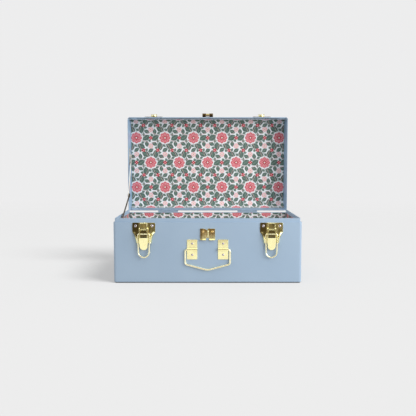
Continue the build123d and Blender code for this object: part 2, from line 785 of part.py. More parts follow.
flap_length = hinge_z + hasp_hinge_height - hasp_flap_foot
slot_near = hinge_z + hasp_hinge_height - fin_top - hasp_slot_clearance
slot_far = hinge_z + hasp_hinge_height - fin_bottom + hasp_slot_clearance
flap_neck = curl_far + side_gap
flap_wide = hasp_hinge_height + flap_length - flap_neck
flap_back = hasp_hinge_reach + hasp_flap_knuckle_radius - hasp_sheet
with BuildPart() as hasp_flap:
    with BuildSketch(lid_front.offset(flap_back)) as flap_outline:
        with Locations((0, flap_neck)):
            Rectangle(hasp_width, flap_wide, align=(Align.CENTER, Align.MIN))
        fillet(flap_outline.vertices().group_by(Axis.Y)[-1], hasp_flap_corner)
        with Locations((0, hasp_hinge_height)):
            Rectangle(hasp_third - 2 * knuckle_gap, flap_neck, align=(Align.CENTER, Align.MIN))
        with Locations((fin_offset, hasp_hinge_height + (slot_near + slot_far) / 2)):
            Rectangle(hasp_slot_width, slot_far - slot_near, mode=Mode.SUBTRACT)
    extrude(amount=hasp_sheet)
    with BuildSketch(lid_section(hasp_third / 2 - knuckle_gap)):
        with Locations((hasp_hinge_reach, hasp_hinge_height)):
            Circle(hasp_flap_knuckle_radius)
    extrude(amount=hasp_third - 2 * knuckle_gap)
    with BuildSketch(lid_section(0)):
        with Locations((hasp_hinge_reach, hasp_hinge_height)):
            Circle(hasp_pin_radius + running_fit)
    extrude(amount=hasp_third, both=True, mode=Mode.SUBTRACT)
hasp_flap.part.label = "hasp_flap"
export_step(hasp_flap.part, "parts/hasp_flap.step")

with BuildPart(lid_front.offset(hasp_sheet)) as hasp_rivets:
    with Locations(*hasp_points):
        add(rivet(hasp_sheet + sheet, small_head_radius))
hasp_rivets.part.label = "hasp_rivets"
export_step(hasp_rivets.part, "parts/hasp_rivets.step")

# Staple: a plate with two curved lips, and a fin with an eye for a padlock
with BuildPart() as staple:
    with BuildSketch(front):
        with Locations((0, (staple_top + staple_bottom) / 2)):
            Rectangle(staple_width, staple_top - staple_bottom)
        with BuildLine():
            Polyline(
                (-staple_cut_width - fin_offset, staple_top), (0, staple_top),
                (0, staple_top - staple_cut_height), close=True,
            )
        make_face(mode=Mode.SUBTRACT)
    extrude(amount=staple_sheet)
    with BuildSketch(front_section(staple_width / 2)):
        with BuildLine():
            inner = CenterArc((staple_lip_radius, staple_bottom), staple_lip_radius - staple_sheet, 180, 90)
            outer = CenterArc((staple_lip_radius, staple_bottom), staple_lip_radius, 180, 90)
            Line(inner @ 0, outer @ 0)
            Line(inner @ 1, outer @ 1)
        make_face()
    extrude(amount=staple_width)
    with BuildSketch(front):
        with Locations((0, staple_bottom)):
            Rectangle(staple_notch, staple_lip_radius + cutter, align=(Align.CENTER, Align.MAX))
    extrude(amount=staple_lip_radius + cutter, mode=Mode.SUBTRACT)
    with BuildSketch(front_section(fin_offset + fin_thickness / 2)) as fin_outline:
        with Locations((staple_sheet / 2, (fin_top + fin_bottom) / 2)):
            Rectangle(fin_reach - staple_sheet / 2, fin_top - fin_bottom, align=(Align.MIN, Align.CENTER))
        fillet(fin_outline.vertices().group_by(Axis.X)[-1], fin_corner_radius)
        with Locations((eye_reach, eye_height)):
            Circle(eye_radius, mode=Mode.SUBTRACT)
    extrude(amount=fin_thickness)
    extrude(holes(front, staple_points), amount=2 * staple_sheet, mode=Mode.SUBTRACT)
staple.part.label = "staple"
export_step(staple.part, "parts/staple.step")

with BuildPart(front.offset(staple_sheet)) as staple_rivets:
    with Locations(*staple_points):
        add(rivet(staple_sheet + sheet, small_head_radius))
staple_rivets.part.label = "staple_rivets"
export_step(staple_rivets.part, "parts/staple_rivets.step")

# Carrying handle: two clips with a half-round channel, and a bail of bent wire
channel_radius = bail_wire / 2 + bail_fit
with BuildPart() as clip:
    with BuildSketch(front) as clip_outline:
        with Locations((0, (clip_top + clip_bottom) / 2)):
            RectangleRounded(clip_width, clip_top - clip_bottom, clip_corner_radius)
    extrude(amount=clip_sheet)
    with BuildSketch(front_section(clip_width / 2)):
        with Locations((bail_pivot_reach, bail_pivot_height)):
            Circle(channel_radius + clip_sheet)
        with Locations((0, bail_pivot_height)):
            Rectangle(4 * bail_wire, 4 * bail_wire, align=(Align.MAX, Align.CENTER), mode=Mode.SUBTRACT)
    extrude(amount=clip_width)
    with BuildSketch(front_section(clip_width / 2)):
        with Locations((bail_pivot_reach, bail_pivot_height)):
            Circle(channel_radius)
        with Locations((0, bail_pivot_height)):
            Rectangle(bail_pivot_reach, 2 * channel_radius, align=(Align.MIN, Align.CENTER))
    extrude(amount=clip_width, mode=Mode.SUBTRACT)
    extrude(holes(front, [(0, clip_rivet_low), (0, clip_rivet_high)]), amount=2 * clip_sheet,
            mode=Mode.SUBTRACT)
for side, sign in (("left", -1), ("right", 1)):
    placed = clip.part.moved(Location((sign * clip_spacing / 2, 0, 0)))
    placed.label = f"handle_clip_{side}"
    export_step(placed, f"parts/handle_clip_{side}.step")

with BuildPart(front.offset(clip_sheet)) as handle_rivets:
    with Locations(*clip_points):
        add(rivet(clip_sheet + sheet, small_head_radius))
handle_rivets.part.label = "handle_rivets"
export_step(handle_rivets.part, "parts/handle_rivets.step")

leg_half = bail_leg_spacing / 2
with BuildPart() as handle_bail:
    with BuildLine(front.offset(bail_pivot_reach)):
        FilletPolyline(
            (-bail_end, bail_pivot_height), (-leg_half, bail_pivot_height), (-leg_half, bail_leg_foot),
            (0, bail_apex), (leg_half, bail_leg_foot), (leg_half, bail_pivot_height),
            (bail_end, bail_pivot_height),
            radius=[bail_shoulder_radius, bail_corner_radius, bail_apex_radius, bail_corner_radius,
                    bail_shoulder_radius],
        )
    with BuildSketch(
        Plane(origin=(-bail_end, -half_depth - bail_pivot_reach, bail_pivot_height), z_dir=(-1, 0, 0))
    ):
        Circle(bail_wire / 2)
    sweep()
handle_bail.part.label = "handle_bail"
export_step(handle_bail.part, "parts/handle_bail.step")

# Folding stay inside the left end: two links in planes side by side, riveted at the elbow
upper_link_x = -(half_width - lining_inset - stay_wall_gap)
lower_link_x = upper_link_x + stay_sheet + stay_gap


def link_part(x, start, end, start_hole, end_hole):
    """A flat link between two pivots with a round eye at each, its outer face at x."""
    with BuildPart() as link:
        with BuildSketch(Plane.YZ.offset(x)):
            with Locations(start, end):
                Circle(stay_shank_radius)
            make_hull()
            with Locations(start, end):
                Circle(stay_eye_radius)
            with Locations(start):
                Circle(start_hole, mode=Mode.SUBTRACT)
            with Locations(end):
                Circle(end_hole, mode=Mode.SUBTRACT)
        extrude(amount=stay_sheet)
    return link.part


def bracket_part(x, boss_x, centre, upright):
    """A plate on a wall at x with a round boss that ends at boss_x, and two holes for rivets."""
    length, width = stay_plate_length, stay_plate_width
    size = (width, length) if upright else (length, width)
    points = [(0, -stay_rivet_spacing / 2), (0, stay_rivet_spacing / 2)]
    if not upright:
        points = [(along, across) for across, along in points]
    with BuildPart() as bracket:
        with BuildSketch(Plane.YZ.offset(x)):
            with Locations(centre):
                RectangleRounded(*size, stay_plate_corner)
                with Locations(*points):
                    Circle(rivet_shank_radius + rivet_hole_fit, mode=Mode.SUBTRACT)
        extrude(amount=stay_plate_sheet)
        with BuildSketch(Plane.YZ.offset(x)):
            with Locations(centre):
                Circle(stay_boss_radius)
        extrude(amount=boss_x - x)
    return bracket.part


def disc(x, centre, radius, length):
    """A round disc or shank on X at a pivot."""
    with BuildPart() as piece:
        with BuildSketch(Plane.YZ.offset(x)):
            with Locations(centre):
                Circle(radius)
        extrude(amount=length)
    return piece.part


seated_hole = stay_pin_radius + seated_fit
turning_hole = stay_pin_radius + running_fit
stay_upper_link = link_part(upper_link_x, lid_pivot, elbow, turning_hole, seated_hole)
stay_lower_link = link_part(lower_link_x, elbow, foot_pivot, turning_hole, seated_hole)
stay_lid_bracket = bracket_part(-cap_face, upper_link_x - stay_gap, lid_pivot, upright=True)
stay_base_bracket = bracket_part(-lining_face, lower_link_x - stay_gap, foot_pivot, upright=False)

with BuildPart() as stay_lid_pin:
    add(disc(upper_link_x - stay_gap, lid_pivot, stay_pin_radius, stay_gap + stay_sheet + stay_head_gap))
    add(disc(upper_link_x + stay_sheet + stay_head_gap, lid_pivot, stay_head_radius, stay_head))
with BuildPart() as stay_elbow_rivet:
    add(disc(upper_link_x - stay_head, elbow, stay_head_radius, stay_head))
    add(disc(upper_link_x, elbow, stay_pin_radius, lower_link_x + stay_sheet + stay_head_gap - upper_link_x))
    add(disc(lower_link_x + stay_sheet + stay_head_gap, elbow, stay_head_radius, stay_head))
with BuildPart() as stay_foot_rivet:
    add(disc(lower_link_x, foot_pivot, stay_pin_radius, stay_sheet))
    add(disc(lower_link_x + stay_sheet, foot_pivot, stay_head_radius, stay_head))

base_grip = half_width - lining_face + stay_plate_sheet
with BuildPart(left_wall) as stay_base_rivets:
    with Locations(*stay_base_points):
        add(rivet(base_grip, small_head_radius))
with BuildPart(left_wall) as stay_lid_rivets:
    with Locations(*stay_lid_points):
        add(rivet(sheet + stay_plate_sheet, small_head_radius))

for name, piece in (
    ("stay_upper_link", stay_upper_link), ("stay_lower_link", stay_lower_link),
    ("stay_lid_bracket", stay_lid_bracket), ("stay_base_bracket", stay_base_bracket),
    ("stay_lid_pin", stay_lid_pin.part), ("stay_elbow_rivet", stay_elbow_rivet.part),
    ("stay_foot_rivet", stay_foot_rivet.part), ("stay_base_rivets", stay_base_rivets.part),
    ("stay_lid_rivets", stay_lid_rivets.part),
):
    piece.label = name
    export_step(piece, f"parts/{name}.step")
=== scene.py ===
import math

import bpy
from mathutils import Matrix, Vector


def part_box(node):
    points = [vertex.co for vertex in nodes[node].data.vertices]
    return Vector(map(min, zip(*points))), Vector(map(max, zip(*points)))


# The looks of the storage trunk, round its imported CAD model. Lengths are in metres, apart from those of the
# printed pattern, which are in millimetres. Colours are linear.

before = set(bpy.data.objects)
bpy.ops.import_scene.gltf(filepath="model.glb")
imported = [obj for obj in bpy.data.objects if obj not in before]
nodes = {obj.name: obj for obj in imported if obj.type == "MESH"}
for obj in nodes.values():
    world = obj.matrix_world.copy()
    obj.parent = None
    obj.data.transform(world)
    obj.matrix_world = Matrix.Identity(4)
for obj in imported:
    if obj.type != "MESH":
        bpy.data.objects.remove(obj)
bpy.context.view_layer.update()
scene = bpy.context.scene

# Places on the model. The lid stands open, so its top is at the rear and its front wall is uppermost.
body_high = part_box("base_shell")[1]
lid_low, lid_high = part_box("lid_shell")
latch_low, latch_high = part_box("latch_plate_right")
staple_low, staple_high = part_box("staple")
SHEET = 0.001
LID_ROUND, LID_CORNER = 0.022, 0.005
# Distances in from the boxes: to within the neck's sheet, past the rim's face and past the front wall
NECK_INSET, RIM_DEPTH, WALL_DEPTH = 0.0033, 0.0006, 0.0049
HALF_WIDTH = body_high.x
NECK_HALF_X, NECK_HALF_Y = body_high.x - NECK_INSET, body_high.y - NECK_INSET
LID_RIM_Y = lid_low.y + RIM_DEPTH
LID_UPPER_WALL_Z = lid_high.z - WALL_DEPTH
LID_ARC_Y = lid_high.y - LID_ROUND
LID_ARC_LOW_Z, LID_ARC_HIGH_Z = lid_low.z + LID_ROUND, lid_high.z - LID_ROUND
LID_BOARD_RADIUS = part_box("lid_lining")[0].y - LID_ARC_Y
LATCH_X = (latch_low.x + latch_high.x) / 2


# Nodes of materials

class Value:
    """A number in a node tree, with the usual operators."""

    def __init__(self, tree, socket):
        self.tree = tree
        self.socket = socket

    def math(self, operation, *others):
        node = self.tree.nodes.new("ShaderNodeMath")
        node.operation = operation
        for socket, value in zip(node.inputs, (self, *others)):
            if isinstance(value, Value):
                self.tree.links.new(value.socket, socket)
            else:
                socket.default_value = value
        return Value(self.tree, node.outputs[0])

    def __add__(self, other):
        return self.math("ADD", other)

    def __radd__(self, other):
        return self.math("ADD", other)

    def __sub__(self, other):
        return self.math("SUBTRACT", other)

    def __rsub__(self, other):
        return self.math("MULTIPLY_ADD", -1.0, other)

    def __mul__(self, other):
        return self.math("MULTIPLY", other)

    def __rmul__(self, other):
        return self.math("MULTIPLY", other)

    def __truediv__(self, other):
        return self.math("DIVIDE", other)

    def sin(self):
        return self.math("SINE")

    def cos(self):
        return self.math("COSINE")

    def abs(self):
        return self.math("ABSOLUTE")

    def power(self, exponent):
        return self.math("POWER", exponent)

    def at_least(self, other):
        return self.math("MAXIMUM", other)

    def at_most(self, other):
        return self.math("MINIMUM", other)

    def clamp(self, low=0.0, high=1.0):
        return self.at_least(low).at_most(high)

    def wrap(self, period):
        """The number less the nearest multiple of the period."""
        return self.math("WRAP", period / 2, -period / 2)

    def below(self, edge, soft):
        """1 where the number is below the edge and 0 above it, over a soft step."""
        if isinstance(edge, Value):
            return ((edge - self) / soft + 0.5).clamp()
        return (self * (-1 / soft) + (edge / soft + 0.5)).clamp()

    def above(self, edge, soft):
        return 1.0 - self.below(edge, soft)

    def pick(self, chosen, other):
        """The chosen number where this is 1, and the other where it is 0."""
        return other + self * (chosen - other)


def distance(x, y):
    return (x * x + y * y).math("SQRT")


def angle(y, x):
    return y.math("ARCTAN2", x)


class Shader:
    """A new material with its tree, and short ways to make nodes in it."""

    def __init__(self, name):
        self.material = bpy.data.materials.new(name)
        self.material.use_nodes = True
        self.tree = self.material.node_tree
        self.bsdf = next(n for n in self.tree.nodes if n.type == "BSDF_PRINCIPLED")
        self.place = self.tree.nodes.new("ShaderNodeTexCoord").outputs["Object"]

    def link(self, source, target):
        self.tree.links.new(getattr(source, "socket", source), target)

    def set(self, **values):
        """Numbers and colours on the shader's own sockets, by name with _ for a space."""
        for name, value in values.items():
            socket = self.bsdf.inputs[name.replace("_", " ")]
            if isinstance(value, (Value, bpy.types.NodeSocket)):
                self.link(value, socket)
            else:
                socket.default_value = (*value, 1.0) if isinstance(value, tuple) else value

    def coordinates(self):
        split = self.tree.nodes.new("ShaderNodeSeparateXYZ")
        self.link(self.place, split.inputs[0])
        return [Value(self.tree, socket) for socket in split.outputs]

    def noise(self, scale, detail, roughness=0.5, stretch=None):
        """Noise from 0 to 1, of about `scale` grains in a metre, times `stretch` along x, y and z."""
        node = self.tree.nodes.new("ShaderNodeTexNoise")
        node.inputs["Scale"].default_value = scale
        node.inputs["Detail"].default_value = detail
        node.inputs["Roughness"].default_value = roughness
        source = self.place
        if stretch:
            mapping = self.tree.nodes.new("ShaderNodeMapping")
            mapping.inputs["Scale"].default_value = stretch
            self.link(source, mapping.inputs["Vector"])
            source = mapping.outputs[0]
        self.link(source, node.inputs["Vector"])
        return Value(self.tree, node.outputs["Fac"])

    def ranged(self, value, low, high, to_low=0.0, to_high=1.0):
        """A number's range set to another, held at its ends."""
        node = self.tree.nodes.new("ShaderNodeMapRange")
        self.link(value, node.inputs["Value"])
        ends = {"From Min": low, "From Max": high, "To Min": to_low, "To Max": to_high}
        for name, number in ends.items():
            node.inputs[name].default_value = number
        return Value(self.tree, node.outputs[0])

    def mix(self, share, first, second):
        """The first colour, and the second where the share is 1. A colour is a tuple or a socket."""
        node = self.tree.nodes.new("ShaderNodeMix")
        node.data_type = "RGBA"
        self.link(share, node.inputs[0])
        for socket, colour in ((node.inputs[6], first), (node.inputs[7], second)):
            if isinstance(colour, tuple):
                socket.default_value = (*colour, 1.0)
            else:
                self.link(colour, socket)
        return node.outputs[2]

    def bump(self, height, depth, strength, normal):
        """The normals given, tilted by a height that `depth` turns into metres."""
        node = self.tree.nodes.new("ShaderNodeBump")
        node.inputs["Distance"].default_value = depth
        node.inputs["Strength"].default_value = strength
        self.link(height, node.inputs["Height"])
        self.link(normal, node.inputs["Normal"])
        return node.outputs[0]

    def soft_edges(self, radius):
        """Normals that turn round a small radius at sharp edges."""
        node = self.tree.nodes.new("ShaderNodeBevel")
        node.samples = 6
        node.inputs["Radius"].default_value = radius
        return node.outputs[0]

    def edge_wear(self, radius):
        """1 near a sharp edge, and 0 away from it."""
        plain = self.tree.nodes.new("ShaderNodeNewGeometry")
        dot = self.tree.nodes.new("ShaderNodeVectorMath")
        dot.operation = "DOT_PRODUCT"
        self.link(self.soft_edges(radius), dot.inputs[0])
        self.link(plain.outputs["Normal"], dot.inputs[1])
        return self.ranged(Value(self.tree, dot.outputs["Value"]), 0.995, 0.9)


def scaled(colour, share):
    return tuple(share * c for c in colour)


# Paint

BLUE = (0.352, 0.466, 0.592)
BLUE_DEEP = (0.330, 0.442, 0.570)
BLUE_WORN = (0.44, 0.55, 0.66)
# Painted light: paler, bluer paint on the inner faces of the lid and the neck, which lie in shade
BLUE_INSIDE_PAINTED_LIGHT = (0.385, 0.56, 0.74)
# Painted light: a much paler blue on the underside of the lid's front wall, which lies in shadow
BLUE_UPPER_WALL_PAINTED_LIGHT = (0.66, 0.84, 0.98)
# Painted shade: a darker copy of the paint on the lid's rim
BLUE_RIM_PAINTED_SHADE = (0.292, 0.387, 0.491)


def lid_inside(s):
    """1 on the inner faces of the lid behind its rim, and 0 on its outer ones."""
    x, y, z = s.coordinates()
    out = distance(z - z.clamp(LID_ARC_LOW_Z, LID_ARC_HIGH_Z), (y - LID_ARC_Y).at_least(0.0))
    past_end = (x.abs() - (HALF_WIDTH - LID_CORNER)).at_least(0.0)
    past_wrap = (out - (LID_ROUND - LID_CORNER)).at_least(0.0)
    inside = distance(past_end, past_wrap).below(LID_CORNER - SHEET / 2, soft=0.0002)
    return inside * y.above(LID_RIM_Y, soft=0.0003)


def lid_upper_wall(s):
    """1 on the inner face of the lid's front wall, which is uppermost."""
    z = s.coordinates()[2]
    return lid_inside(s) * z.above(LID_UPPER_WALL_Z, soft=0.001)


def lid_rim(s):
    """1 on the lid's rim, apart from the front wall's."""
    _, y, z = s.coordinates()
    return y.below(LID_RIM_Y, soft=0.0003) * z.below(LID_UPPER_WALL_Z, soft=0.001)


def neck_inside(s):
    """1 on the inner faces of the body's neck, and 0 on its outer ones."""
    x, y, _ = s.coordinates()
    return x.abs().below(NECK_HALF_X, soft=0.0002) * y.abs().below(NECK_HALF_Y, soft=0.0002)


def blue_paint(name, painted_shade=1.0, patches=()):
    """Satin paint on steel sheet: a faint stipple, a slow change of tone and paler edges.

    Each patch is a function and a colour of painted light and shade. The paint has that colour where the
    function gives 1, and a shade below 1 darkens all of it as painted shade.
    """
    s = Shader(name)
    tone = s.ranged(s.noise(9, 3), 0.35, 0.65)
    speck = s.ranged(s.noise(420, 2), 0.3, 0.7)
    wear = s.edge_wear(0.0006) * s.ranged(s.noise(60, 4), 0.45, 0.7, 0.15, 0.8)
    colour = s.mix(tone, scaled(BLUE, painted_shade), scaled(BLUE_DEEP, painted_shade))
    for patch, tint in patches:
        colour = s.mix(patch(s), colour, tint)
    colour = s.mix(wear, colour, scaled(BLUE_WORN, painted_shade))
    roughness = s.ranged(s.noise(35, 3), 0.3, 0.7, 0.40, 0.48)
    stipple = s.bump(speck + 3.0 * s.noise(110, 2), 0.00004, 0.35, s.soft_edges(0.0005))
    s.set(Base_Color=colour, Roughness=roughness, Normal=stipple, Specular_IOR_Level=0.42)
    return s.material


# Metal

BRASS = (1.0, 0.96, 0.54)
BRASS_DARK = (0.92, 0.80, 0.40)
# A dark brown for streaks of tarnish, and for painted shade and painted dark reflections on the latches, the
# staple and the strikes
TARNISH_PAINTED_SHADE_AND_REFLECTION = (0.15, 0.11, 0.035)

# On a latch plate: the foot of the streaks, the right side from the middle of the band of painted dark
# reflection, and the painted shade between the lugs
STREAK_FOOT_Z = latch_low.z + 0.012
LATCH_REFLECTION_BAND_X = -0.0098
PAINTED_SHADE_HALF_WIDTH, PAINTED_SHADE_TOP_Z = 0.0074, latch_high.z - 0.0127
# On the staple: the right side of the band of painted dark reflection, and half-way out along the fin
STAPLE_REFLECTION_BAND_X = staple_low.x + 0.0045
FIN_HALF_Y = (staple_low.y + staple_high.y) / 2
# On a strike: a level between the plate and the hook
UNDER_HOOK_Z = lid_high.z + 0.0024


def latch_streaks_painted_shade_and_reflection(s):
    """Streaks down a latch plate, a painted dark reflection along its left part and painted shade between its
    lugs.
    """
    x, y, z = s.coordinates()
    across = x - x.math("SIGN") * LATCH_X
    streak = s.ranged(s.noise(330, 3, 0.6, stretch=(1.0, 1.0, 0.22)), 0.42, 0.62, 0.0, 0.5)
    # Painted dark reflection along the plate's left part
    dark_reflection_band = across.below(LATCH_REFLECTION_BAND_X, soft=0.003) * 0.9
    # Painted shade in the recess between the lugs
    shade_between_lugs = across.abs().below(PAINTED_SHADE_HALF_WIDTH, soft=0.0012) * z.below(PAINTED_SHADE_TOP_Z, soft=0.002) * 0.85
    return shade_between_lugs.at_least(streak.at_least(dark_reflection_band) * z.above(STREAK_FOOT_Z, soft=0.006))


def staple_streaks_and_painted_reflection(s):
    """Faint streaks on the staple and a painted dark reflection along its left end, but none on the fin's
    outer half.
    """
    x = s.coordinates()[0]
    streak = s.ranged(s.noise(420, 3, 0.6, stretch=(1.0, 1.0, 0.3)), 0.42, 0.62, 0.0, 0.35)
    # Painted dark reflection along the staple's left end
    dark_reflection_band = x.below(STAPLE_REFLECTION_BAND_X, soft=0.003) * 0.7
    return streak.at_least(dark_reflection_band) * (1.0 - fin_outside(s))


def fin_outside(s):
    """1 on the outer half of the staple's fin, which is polished less."""
    y = s.coordinates()[1]
    return y.below(FIN_HALF_Y, soft=0.001)


def strike_painted_reflection(s):
    """1 on the plate under a strike's hook, which gets a painted dark reflection."""
    z = s.coordinates()[2]
    return z.below(UNDER_HOOK_Z, soft=0.0003)


def brass(name, rough, scratch, colour=BRASS, dark=BRASS_DARK, edge=0.00025, tarnish_painted_shade_and_reflection=None, dull=None):
    """Polished brass with hairline scratches and smudges, darkened where one function gives 1 with streaks of
    tarnish, painted shade and painted dark reflection, and dull where another does.
    """
    s = Shader(name)
    smudge = s.ranged(s.noise(85, 4, 0.6), 0.40, 0.75)
    hair = s.noise(260, 3, 0.6, stretch=(1.0, 1.0, 9.0))
    tone = s.mix(smudge * 0.5, colour, dark)
    if tarnish_painted_shade_and_reflection:
        tone = s.mix(tarnish_painted_shade_and_reflection(s), tone, TARNISH_PAINTED_SHADE_AND_REFLECTION)
    roughness = s.ranged(smudge, 0.0, 1.0, rough, rough + 0.07) + hair * (0.04 * scratch)
    if dull:
        roughness = roughness + dull(s) * 0.3
    height = hair * scratch + s.noise(90, 2) * 1.5
    normal = s.bump(height, 0.00001, 0.35, s.soft_edges(edge))
    s.set(Base_Color=tone, Metallic=1.0, Roughness=roughness, Normal=normal)
    return s.material


def small_metal(name, colour, rough):
    """Metal of pins, rivets and the stay's lower link, with fine marks."""
    s = Shader(name)
    mark = s.noise(700, 3, 0.6)
    tone = s.mix(s.ranged(mark, 0.4, 0.8, 0.0, 0.5), colour, scaled(colour, 0.6))
    roughness = s.ranged(mark, 0.3, 0.8, rough, rough + 0.15)
    normal = s.bump(mark, 0.00002, 0.3, s.soft_edges(0.0002))
    s.set(Base_Color=tone, Metallic=1.0, Roughness=roughness, Normal=normal)
    return s.material


# Printed paper: medallions on a six-sided lattice, in millimetres

PAPER = (0.83, 0.86, 0.875)
PAPER_DIM = (0.77, 0.80, 0.815)
SAGE = (0.078, 0.145, 0.114)
SAGE_DARK = (0.042, 0.086, 0.068)
SAGE_PALE = (0.27, 0.37, 0.31)
CORAL = (0.66, 0.105, 0.135)
CORAL_PALE = (0.84, 0.45, 0.48)
RED = (0.50, 0.012, 0.035)
CREAM = (0.82, 0.78, 0.72)
# Painted light: the paler binding on the edge of the lid's upper board, which lies in shade
BINDING_PAINTED_LIGHT = (0.66, 0.76, 0.86)

MM = 1000.0
LATTICE = 70.0
ROW = LATTICE * math.sqrt(3) / 2
TO_BLOSSOM = LATTICE / math.sqrt(3)
TO_BUD = LATTICE / 2
QUARTER, SIXTH, EIGHTH = math.pi / 2, math.pi / 3, math.pi / 4
PRINT_EDGE, PRINT_DRIFT = 0.35, 2.2
# Flowers: the number of petals, the radius out to their tips, and the depth of the notches between them
ROSETTE, ROSETTE_HEART = (8, 13.6, 3.2), (8, 4.2, 0.9)
BLOSSOM, BLOSSOM_HEART = (6, 6.2, 1.9), (6, 3.4, 1.0)
BUD, BUD_HEART = (4, 4.6, 1.6), (4, 2.2, 0.6)
# Rings of six leaves: how far a ring is turned back, its radius, and a leaf's length, width and tilt
LEAVES = (
    (0.0, 23.6, 21.0, 14.0, 0.62),
    (SIXTH / 2, 29.5, 15.0, 9.4, -0.95),
    (SIXTH * 0.62, 19.4, 9.5, 5.8, 1.1),
    (SIXTH * 0.20, 33.2, 9.5, 6.0, -0.35),
)
# In metres: the row of rosettes at the top of the body's long boards, the width of the binding on the lid's
# lower board, and the board's edge that it covers on the upper one
TOP_ROW_Z = 0.126
BINDING, BINDING_EDGE = 0.0048, 0.0003


def flower(r, turn, petals, size, notch):
    """Below 0 inside a flower's outline."""
    return r - ((turn * (petals / 2)).cos().abs().power(0.65) * notch + (size - notch))


def leaf(x, y, length, width):
    """Below 0 inside a pointed leaf along x, round the origin."""
    along = (x / (length / 2)).abs()
    half = (1.0 - along.at_most(1.0).power(1.8)) * (width / 2)
    return y.abs() - half + along.math("GREATER_THAN", 1.0) * 5.0


def line(across, half_width, past_end):
    """Below 0 inside a line, which runs out to a point where it is past its end."""
    return across.abs() - half_width + past_end.at_least(0.0)


def from_ring(r, turn, step, radius):
    """x and y from the nearest point of a ring, which has one point in each step of the turn."""
    turned = turn.wrap(step)
    return r * turned.cos() - radius, r * turned.sin()


def from_medallion(u, v):
    """Distance and turn from the nearest medallion, of two grids half a lattice and a row apart."""
    ax, ay = u.wrap(LATTICE), v.wrap(2 * ROW)
    bx, by = (u + LATTICE / 2).wrap(LATTICE), (v + ROW).wrap(2 * ROW)
    first = (ax * ax + ay * ay).math("LESS_THAN", bx * bx + by * by)
    x, y = first.pick(ax, bx), first.pick(ay, by)
    return distance(x, y), angle(y, x)


def pattern(s, u, v, white, dim):
    """The print's colour at u and v, on paper between white and dim."""
    r, turn = from_medallion(u, v)
    sage = s.mix(s.ranged(s.noise(330, 3), 0.42, 0.62, 0.0, 0.55), SAGE, SAGE_DARK)
    coral = s.mix(s.ranged(s.noise(380, 2), 0.45, 0.65, 0.0, 0.35), CORAL, CORAL_PALE)
    colour = s.mix(s.ranged(s.noise(220, 4, 0.65), 0.35, 0.65), white, dim)

    def lay(mark, tint):
        nonlocal colour
        colour = s.mix(mark.below(0.0, soft=PRINT_EDGE), colour, tint)

    # Stems that curl out between the leaves
    curl = (turn + SIXTH / 2 - (r - 16.0) * 0.020).wrap(SIXTH)
    lay(line(r * curl.sin(), 0.6, r - 35.0), SAGE)

    # A wreath of leaves, each with a white margin, a midrib and veins
    for back, radius, length, width, tilt in LEAVES:
        ring_x, ring_y = from_ring(r, turn + back, SIXTH, radius)
        x = ring_x * math.cos(tilt) + ring_y * math.sin(tilt)
        y = ring_y * math.cos(tilt) - ring_x * math.sin(tilt)
        shape = leaf(x, y, length, width)
        lay(shape - 0.7, white)
        lay(shape, sage)
        lay(line(y, 0.30, x.abs() - length * 0.38), SAGE_PALE)
        vein = 0.97 - ((x - y.abs() * 0.9) * 2.1).sin()
        lay(vein * 0.6 + (shape + width * 0.14).at_least(0.0) * 4.0, SAGE_PALE)

    # The rosette: a dot on each petal, dots and lines between the petals, a red heart and a pale eye
    lay(flower(r, turn, *ROSETTE) - 1.0, white)
    lay(flower(r, turn, *ROSETTE), coral)
    lay(distance(*from_ring(r, turn, EIGHTH, 8.9)) - 1.05, CORAL_PALE)
    between = turn + EIGHTH / 2
    lay(distance(*from_ring(r, between, EIGHTH, 5.6)) - 0.55, CREAM)
    lay(line(r * between.wrap(EIGHTH).sin(), 0.28, 7.2 - r), CORAL_PALE)
    lay(flower(r, turn, *ROSETTE_HEART), RED)
    lay(r - 2.0, CREAM)

    # Pale blossoms where three medallions meet
    x, y = from_ring(r, turn + SIXTH / 2, SIXTH, TO_BLOSSOM)
    out, way = distance(x, y), angle(y, x)
    lay(flower(out, way, *BLOSSOM), CORAL_PALE)
    lay(flower(out, way, *BLOSSOM_HEART), CREAM)
    lay(out - 1.25, CORAL)

    # Red buds half-way between two medallions, with dots round them
    x, y = from_ring(r, turn, SIXTH, TO_BUD)
    out, way = distance(x, y), angle(y, x)
    lay(flower(out, way, *BUD), RED)
    lay(flower(out, way, *BUD_HEART), coral)
    lay(out - 0.7, CREAM)
    lay(distance(*from_ring(out, way + QUARTER / 2, QUARTER, 5.4)) - 0.75, SAGE)
    return colour


def printed_paper(name, board, ground_painted_light):
    """Printed paper over card. `board` makes the pattern's two coordinates from x, y and z. The ground factor
    scales the paper's colours, and above 1 it is painted light.
    """
    s = Shader(name)
    x, y, z = s.coordinates()
    across, up = board(x, y, z)
    u = across * MM + (s.noise(45, 2) - 0.5) * PRINT_DRIFT
    v = up * MM + (s.noise(38, 2) - 0.5) * PRINT_DRIFT
    white = scaled(PAPER, ground_painted_light)
    colour = pattern(s, u, v, white, scaled(PAPER_DIM, ground_painted_light))

    # A blue binding, which is wide along the lid's lower board and covers the edge alone of the upper one,
    # where its paler colour is painted light on an edge in shade
    if board is lid_board:
        low = z.below(LID_ARC_HIGH_Z, soft=0.01)
        rim = low.pick(LID_ARC_Y + BINDING, LID_ARC_Y + BINDING_EDGE)
        colour = s.mix(y.below(rim, soft=0.0004), colour, s.mix(low, BINDING_PAINTED_LIGHT, BLUE_WORN))

    # Ink that takes unevenly, and the paper's own surface
    colour = s.mix(s.ranged(s.noise(900, 2), 0.55, 0.8, 0.0, 0.24), colour, white)
    fibre = s.noise(1400, 3, 0.6)
    roughness = s.ranged(fibre, 0.3, 0.7, 0.55, 0.68)
    normal = s.bump(fibre + 2.0 * s.noise(160, 2), 0.00003, 0.4, s.soft_edges(0.0003))
    s.set(Base_Color=colour, Roughness=roughness, Normal=normal, Specular_IOR_Level=0.35)
    return s.material


